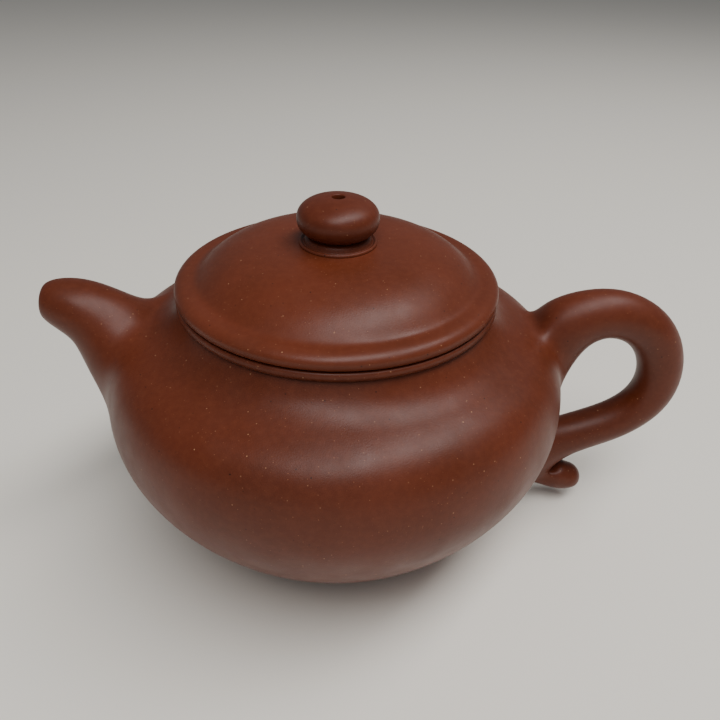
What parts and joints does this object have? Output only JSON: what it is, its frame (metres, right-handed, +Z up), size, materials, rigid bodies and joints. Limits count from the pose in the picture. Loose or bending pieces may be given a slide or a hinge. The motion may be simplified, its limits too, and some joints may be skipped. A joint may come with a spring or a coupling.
{
  "type": "clay teapot",
  "caption": "Small unglazed red-brown clay teapot with a drum-shaped body, short spout, ring handle with a curled tail, and a lift-off domed lid with a bun knob.",
  "frame": {"origin": "on the pot's turning axis, at the face it rests on", "axes": "+X towards the handle, -X towards the spout, +Z up out of the knob"},
  "size_m": [0.1546, 0.108, 0.0869],
  "materials": {
    "body_clay": "unglazed stoneware, burnished to a satin",
    "lid_clay": "unglazed stoneware, burnished to a satin"
  },
  "bodies": {
    "pot": {"base_disc": "body_clay", "belly_wall": "body_clay", "shoulder_disc": "body_clay", "neck_ring": "body_clay", "mouth_ring": "body_clay", "strainer": "body_clay", "spout": "body_clay", "handle": "body_clay", "handle_tail_curl": "body_clay"},
    "lid": {"lid_disc": "lid_clay", "lid_edge_ring": "lid_clay", "lid_flange": "lid_clay", "knob_collar": "lid_clay", "knob": "lid_clay"}
  },
  "joints": [
    {"name": "lid_lift", "type": "slide", "parent": "pot", "child": "lid", "axis": [0, 0, 1], "range_m": [0, 0.06]}
  ]
}
